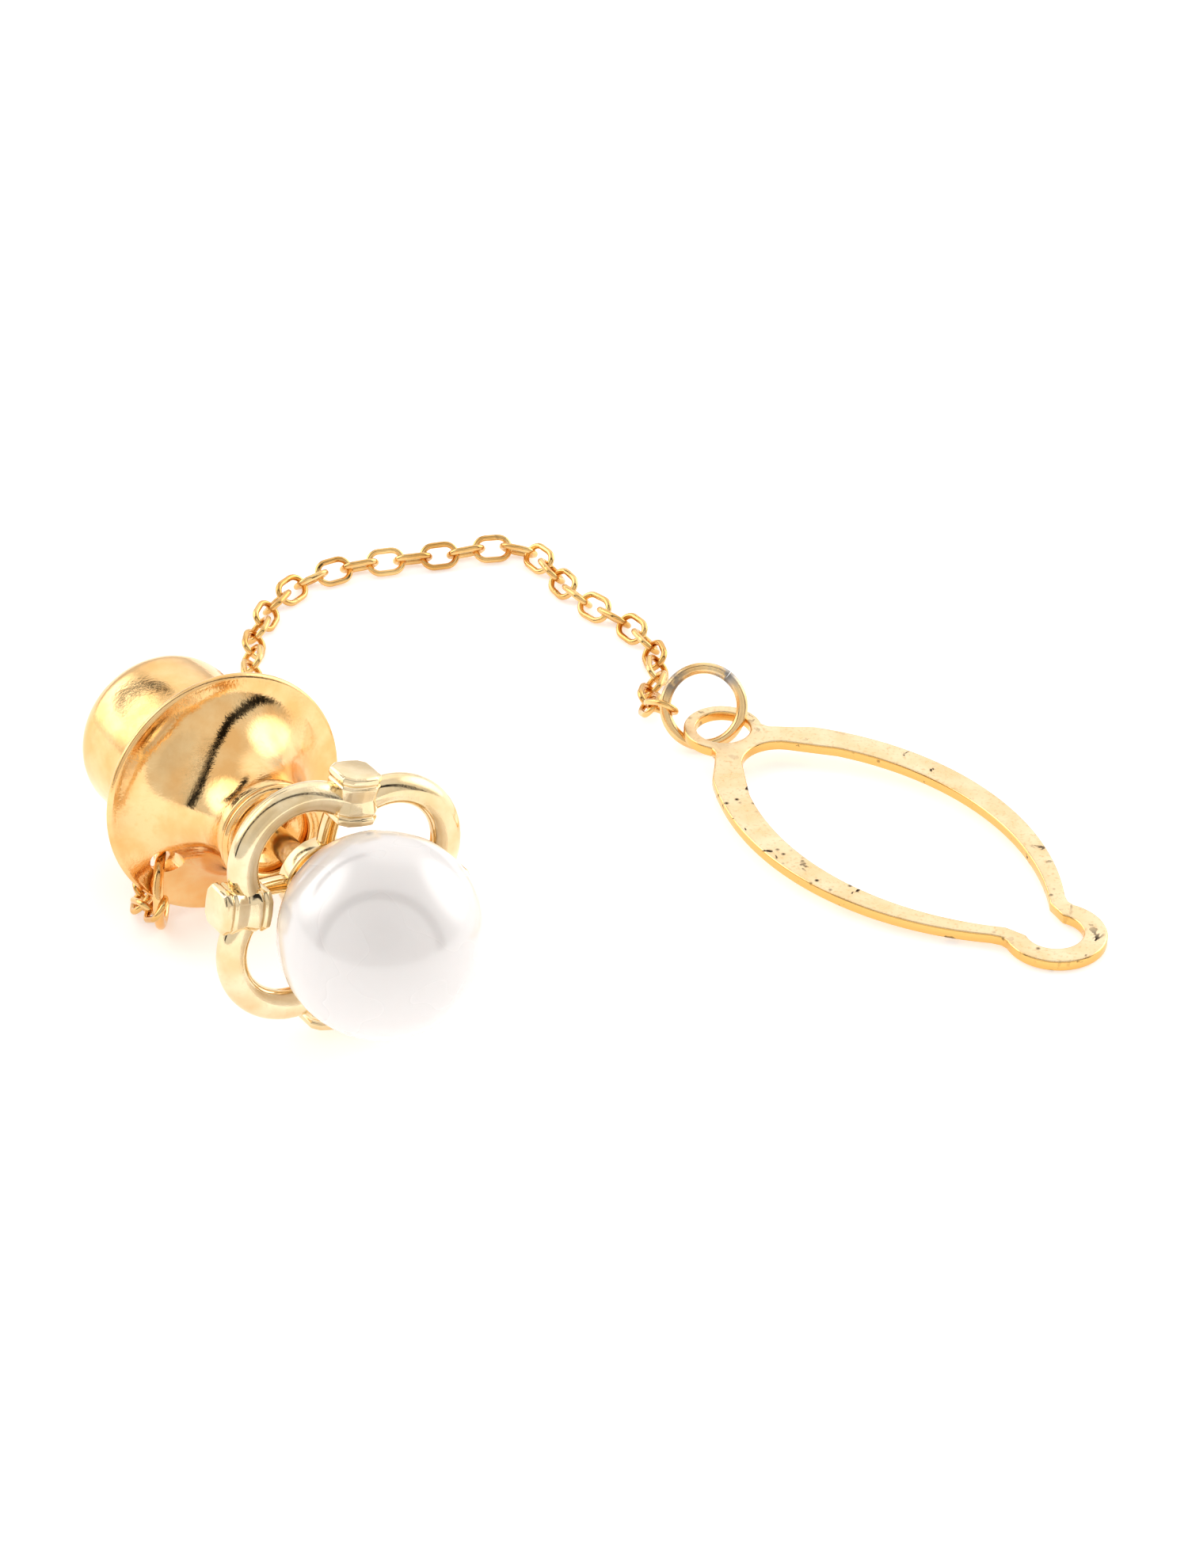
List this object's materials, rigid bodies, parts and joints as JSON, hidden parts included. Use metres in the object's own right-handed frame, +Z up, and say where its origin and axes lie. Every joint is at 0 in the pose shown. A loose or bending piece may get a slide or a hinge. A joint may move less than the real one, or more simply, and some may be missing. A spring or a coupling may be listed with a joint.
{
  "type": "tie tack",
  "caption": "Pearl tie tack in a cast gold-tone quatrefoil frame, with its spring clutch, a fine keeper chain and a flat button loop.",
  "frame": {"origin": "centre of the underside of the whole piece as it lies on a table", "axes": "+Z up from the table, +Y away from the viewer over the longest extent, +X from the tack towards the button loop"},
  "size_m": [0.0386, 0.04, 0.0106],
  "materials": {
    "clutch_gold": "polished gold plate",
    "frame_gold": "polished pale gold",
    "chain_gold": "bright gold plate with a few worn spots",
    "loop_gold": "rolled gold plate with tarnish pits along its edges",
    "spring_steel": "bright drawn steel",
    "pearl_lustre": "white nacre with a faint pink overtone"
  },
  "bodies": {
    "clutch": {"clutch_housing": "clutch_gold", "mouth_ring": "clutch_gold", "retaining_washer": "spring_steel", "collet_spring": "spring_steel"},
    "collet": {"locking_collet": "spring_steel"},
    "cap": {"clutch_cap": "clutch_gold"},
    "head": {"pearl": "pearl_lustre", "pearl_cup": "frame_gold", "ornament_frame": "frame_gold", "tack_post": "frame_gold"},
    "ring": {"clutch_ring": "clutch_gold"},
    "link_01": {"chain_link_01": "chain_gold"},
    "link_02": {"chain_link_02": "chain_gold"},
    "link_03": {"chain_link_03": "chain_gold"},
    "link_04": {"chain_link_04": "chain_gold"},
    "link_05": {"chain_link_05": "chain_gold"},
    "link_06": {"chain_link_06": "chain_gold"},
    "link_07": {"chain_link_07": "chain_gold"},
    "link_08": {"chain_link_08": "chain_gold"},
    "link_09": {"chain_link_09": "chain_gold"},
    "link_10": {"chain_link_10": "chain_gold"},
    "link_11": {"chain_link_11": "chain_gold"},
    "link_12": {"chain_link_12": "chain_gold"},
    "link_13": {"chain_link_13": "chain_gold"},
    "link_14": {"chain_link_14": "chain_gold"},
    "link_15": {"chain_link_15": "chain_gold"},
    "link_16": {"chain_link_16": "chain_gold"},
    "link_17": {"chain_link_17": "chain_gold"},
    "link_18": {"chain_link_18": "chain_gold"},
    "link_19": {"chain_link_19": "chain_gold"},
    "link_20": {"chain_link_20": "chain_gold"},
    "link_21": {"chain_link_21": "chain_gold"},
    "link_22": {"chain_link_22": "chain_gold"},
    "link_23": {"chain_link_23": "chain_gold"},
    "link_24": {"chain_link_24": "chain_gold"},
    "link_25": {"chain_link_25": "chain_gold"},
    "link_26": {"chain_link_26": "chain_gold"},
    "link_27": {"chain_link_27": "chain_gold"},
    "link_28": {"chain_link_28": "chain_gold"},
    "link_29": {"chain_link_29": "chain_gold"},
    "link_30": {"chain_link_30": "chain_gold"},
    "link_31": {"chain_link_31": "chain_gold"},
    "link_32": {"chain_link_32": "chain_gold"},
    "link_33": {"chain_link_33": "chain_gold"},
    "link_34": {"chain_link_34": "chain_gold"},
    "link_35": {"chain_link_35": "chain_gold"},
    "link_36": {"chain_link_36": "chain_gold"},
    "link_37": {"chain_link_37": "chain_gold"},
    "link_38": {"chain_link_38": "chain_gold"},
    "link_39": {"chain_link_39": "chain_gold"},
    "link_40": {"chain_link_40": "chain_gold"},
    "link_41": {"chain_link_41": "chain_gold"},
    "link_42": {"chain_link_42": "chain_gold"},
    "link_43": {"chain_link_43": "chain_gold"},
    "link_44": {"chain_link_44": "chain_gold"},
    "link_45": {"chain_link_45": "chain_gold"},
    "link_46": {"chain_link_46": "chain_gold"},
    "link_47": {"chain_link_47": "chain_gold"},
    "large_ring": {"large_ring": "chain_gold"},
    "loop": {"button_loop": "loop_gold"}
  },
  "joints": [
    {"name": "collet_turn", "type": "hinge", "parent": "clutch", "child": "collet", "pos_m": [-0.0138, -0.00519, 0.00479], "axis": [0.4908, -0.8676, 0.0802], "continuous": true},
    {"name": "head_slide", "type": "slide", "parent": "collet", "child": "head", "axis": [0.4908, -0.8676, 0.0802], "range_m": [-0.003, 0.0075]},
    {"name": "cap_pull", "type": "slide", "parent": "clutch", "child": "cap", "axis": [-0.4908, 0.8676, -0.0802], "range_m": [0, 0.001], "stiffness_N_per_m": 400},
    {"name": "clutch_ring_swing", "type": "hinge", "parent": "clutch", "child": "ring", "pos_m": [-0.01608, -0.00663, 0.00292], "axis": [0, 0, 1], "range_deg": [-12, 20]},
    {"name": "large_ring_swing", "type": "hinge", "parent": "link_47", "child": "large_ring", "pos_m": [0.00301, 0.0057, 0.00158], "axis": [0, 0, -1], "range_deg": [-20, 20]},
    {"name": "loop_flap", "type": "hinge", "parent": "large_ring", "child": "loop", "pos_m": [0.00459, 0.0056, 0.00068], "axis": [-1, 0, 0], "range_deg": [0, 70]},
    {"name": "link_01_swing", "type": "hinge", "parent": "ring", "child": "link_01", "pos_m": [-0.01603, -0.0085, 0.00172], "axis": [0, 0, 1], "range_deg": [-4, 10]},
    {"name": "link_02_swing", "type": "hinge", "parent": "link_01", "child": "link_02", "pos_m": [-0.01648, -0.00767, 0.00112], "axis": [0, 0, -1], "range_deg": [-20, 8]},
    {"name": "link_03_swing", "type": "hinge", "parent": "link_02", "child": "link_03", "pos_m": [-0.01691, -0.00675, 0.00067], "axis": [0, 0, 1], "range_deg": [-20, 25]},
    {"name": "link_04_swing", "type": "hinge", "parent": "link_03", "child": "link_04", "pos_m": [-0.01694, -0.00565, 0.00049], "axis": [0, 0, -1], "range_deg": [-25, 25]},
    {"name": "link_05_swing", "type": "hinge", "parent": "link_04", "child": "link_05", "pos_m": [-0.01665, -0.00458, 0.00046], "axis": [0, 0, 1], "range_deg": [-25, 25]},
    {"name": "link_06_swing", "type": "hinge", "parent": "link_05", "child": "link_06", "pos_m": [-0.01628, -0.00353, 0.00046], "axis": [0, 0, -1], "range_deg": [-25, 25]},
    {"name": "link_07_swing", "type": "hinge", "parent": "link_06", "child": "link_07", "pos_m": [-0.01588, -0.00249, 0.00047], "axis": [0, 0, 1], "range_deg": [-25, 25]},
    {"name": "link_08_swing", "type": "hinge", "parent": "link_07", "child": "link_08", "pos_m": [-0.01544, -0.00147, 0.00047], "axis": [0, 0, -1], "range_deg": [-25, 25]},
    {"name": "link_09_swing", "type": "hinge", "parent": "link_08", "child": "link_09", "pos_m": [-0.01497, -0.00046, 0.00047], "axis": [0, 0, 1], "range_deg": [-25, 25]},
    {"name": "link_10_swing", "type": "hinge", "parent": "link_09", "child": "link_10", "pos_m": [-0.01455, 0.00058, 0.00047], "axis": [0, 0, -1], "range_deg": [-25, 25]},
    {"name": "link_11_swing", "type": "hinge", "parent": "link_10", "child": "link_11", "pos_m": [-0.01423, 0.00164, 0.00047], "axis": [0, 0, 1], "range_deg": [-25, 25]},
    {"name": "link_12_swing", "type": "hinge", "parent": "link_11", "child": "link_12", "pos_m": [-0.01396, 0.00272, 0.00047], "axis": [0, 0, -1], "range_deg": [-25, 25]},
    {"name": "link_13_swing", "type": "hinge", "parent": "link_12", "child": "link_13", "pos_m": [-0.01373, 0.00381, 0.00047], "axis": [0, 0, 1], "range_deg": [-25, 25]},
    {"name": "link_14_swing", "type": "hinge", "parent": "link_13", "child": "link_14", "pos_m": [-0.01357, 0.00491, 0.00047], "axis": [0, 0, -1], "range_deg": [-25, 25]},
    {"name": "link_15_swing", "type": "hinge", "parent": "link_14", "child": "link_15", "pos_m": [-0.01345, 0.00602, 0.00047], "axis": [0, 0, 1], "range_deg": [-25, 25]},
    {"name": "link_16_swing", "type": "hinge", "parent": "link_15", "child": "link_16", "pos_m": [-0.01339, 0.00713, 0.00047], "axis": [0, 0, -1], "range_deg": [-25, 25]},
    {"name": "link_17_swing", "type": "hinge", "parent": "link_16", "child": "link_17", "pos_m": [-0.01338, 0.00824, 0.00047], "axis": [0, 0, 1], "range_deg": [-25, 25]},
    {"name": "link_18_swing", "type": "hinge", "parent": "link_17", "child": "link_18", "pos_m": [-0.01343, 0.00936, 0.00047], "axis": [0, 0, -1], "range_deg": [-25, 25]},
    {"name": "link_19_swing", "type": "hinge", "parent": "link_18", "child": "link_19", "pos_m": [-0.0135, 0.01047, 0.00047], "axis": [0, 0, 1], "range_deg": [-25, 25]},
    {"name": "link_20_swing", "type": "hinge", "parent": "link_19", "child": "link_20", "pos_m": [-0.01353, 0.01158, 0.00047], "axis": [0, 0, -1], "range_deg": [-25, 25]},
    {"name": "link_21_swing", "type": "hinge", "parent": "link_20", "child": "link_21", "pos_m": [-0.01345, 0.01269, 0.00047], "axis": [0, 0, 1], "range_deg": [-25, 25]},
    {"name": "link_22_swing", "type": "hinge", "parent": "link_21", "child": "link_22", "pos_m": [-0.01324, 0.01378, 0.00047], "axis": [0, 0, -1], "range_deg": [-25, 25]},
    {"name": "link_23_swing", "type": "hinge", "parent": "link_22", "child": "link_23", "pos_m": [-0.01293, 0.01485, 0.00047], "axis": [0, 0, 1], "range_deg": [-25, 25]},
    {"name": "link_24_swing", "type": "hinge", "parent": "link_23", "child": "link_24", "pos_m": [-0.01246, 0.01586, 0.00047], "axis": [0, 0, -1], "range_deg": [-25, 25]},
    {"name": "link_25_swing", "type": "hinge", "parent": "link_24", "child": "link_25", "pos_m": [-0.0118, 0.01676, 0.00047], "axis": [0, 0, 1], "range_deg": [-25, 25]},
    {"name": "link_26_swing", "type": "hinge", "parent": "link_25", "child": "link_26", "pos_m": [-0.01097, 0.0175, 0.00047], "axis": [0, 0, -1], "range_deg": [-25, 25]},
    {"name": "link_27_swing", "type": "hinge", "parent": "link_26", "child": "link_27", "pos_m": [-0.00999, 0.01803, 0.00047], "axis": [0, 0, 1], "range_deg": [-25, 25]},
    {"name": "link_28_swing", "type": "hinge", "parent": "link_27", "child": "link_28", "pos_m": [-0.00894, 0.01839, 0.00047], "axis": [0, 0, -1], "range_deg": [-25, 25]},
    {"name": "link_29_swing", "type": "hinge", "parent": "link_28", "child": "link_29", "pos_m": [-0.00785, 0.01864, 0.00047], "axis": [0, 0, 1], "range_deg": [-25, 25]},
    {"name": "link_30_swing", "type": "hinge", "parent": "link_29", "child": "link_30", "pos_m": [-0.00676, 0.01887, 0.00047], "axis": [0, 0, -1], "range_deg": [-25, 25]},
    {"name": "link_31_swing", "type": "hinge", "parent": "link_30", "child": "link_31", "pos_m": [-0.00568, 0.01912, 0.00047], "axis": [0, 0, 1], "range_deg": [-25, 25]},
    {"name": "link_32_swing", "type": "hinge", "parent": "link_31", "child": "link_32", "pos_m": [-0.00463, 0.01949, 0.00047], "axis": [0, 0, -1], "range_deg": [-25, 25]},
    {"name": "link_33_swing", "type": "hinge", "parent": "link_32", "child": "link_33", "pos_m": [-0.00352, 0.01963, 0.00047], "axis": [0, 0, 1], "range_deg": [-25, 25]},
    {"name": "link_34_swing", "type": "hinge", "parent": "link_33", "child": "link_34", "pos_m": [-0.00249, 0.01923, 0.00047], "axis": [0, 0, -1], "range_deg": [-25, 25]},
    {"name": "link_35_swing", "type": "hinge", "parent": "link_34", "child": "link_35", "pos_m": [-0.00186, 0.01831, 0.00047], "axis": [0, 0, 1], "range_deg": [-25, 25]},
    {"name": "link_36_swing", "type": "hinge", "parent": "link_35", "child": "link_36", "pos_m": [-0.00144, 0.01728, 0.00047], "axis": [0, 0, -1], "range_deg": [-25, 25]},
    {"name": "link_37_swing", "type": "hinge", "parent": "link_36", "child": "link_37", "pos_m": [-0.0009, 0.01631, 0.00047], "axis": [0, 0, 1], "range_deg": [-25, 25]},
    {"name": "link_38_swing", "type": "hinge", "parent": "link_37", "child": "link_38", "pos_m": [-0.00029, 0.01538, 0.00047], "axis": [0, 0, -1], "range_deg": [-25, 25]},
    {"name": "link_39_swing", "type": "hinge", "parent": "link_38", "child": "link_39", "pos_m": [0.00049, 0.01458, 0.00047], "axis": [0, 0, 1], "range_deg": [-25, 25]},
    {"name": "link_40_swing", "type": "hinge", "parent": "link_39", "child": "link_40", "pos_m": [0.00127, 0.01379, 0.00047], "axis": [0, 0, -1], "range_deg": [-25, 25]},
    {"name": "link_41_swing", "type": "hinge", "parent": "link_40", "child": "link_41", "pos_m": [0.00191, 0.01288, 0.00047], "axis": [0, 0, 1], "range_deg": [-25, 25]},
    {"name": "link_42_swing", "type": "hinge", "parent": "link_41", "child": "link_42", "pos_m": [0.00237, 0.01186, 0.00047], "axis": [0, 0, -1], "range_deg": [-25, 25]},
    {"name": "link_43_swing", "type": "hinge", "parent": "link_42", "child": "link_43", "pos_m": [0.0026, 0.01077, 0.00047], "axis": [0, 0, 1], "range_deg": [-25, 25]},
    {"name": "link_44_swing", "type": "hinge", "parent": "link_43", "child": "link_44", "pos_m": [0.00257, 0.00966, 0.00047], "axis": [0, 0, -1], "range_deg": [-25, 25]},
    {"name": "link_45_swing", "type": "hinge", "parent": "link_44", "child": "link_45", "pos_m": [0.00234, 0.00857, 0.00047], "axis": [0, 0, 1], "range_deg": [-25, 25]},
    {"name": "link_46_swing", "type": "hinge", "parent": "link_45", "child": "link_46", "pos_m": [0.00216, 0.00749, 0.00066], "axis": [0, 0, -1], "range_deg": [-25, 25]},
    {"name": "link_47_swing", "type": "hinge", "parent": "link_46", "child": "link_47", "pos_m": [0.00239, 0.0065, 0.00112], "axis": [0, 0, 1], "range_deg": [-25, 25]}
  ]
}
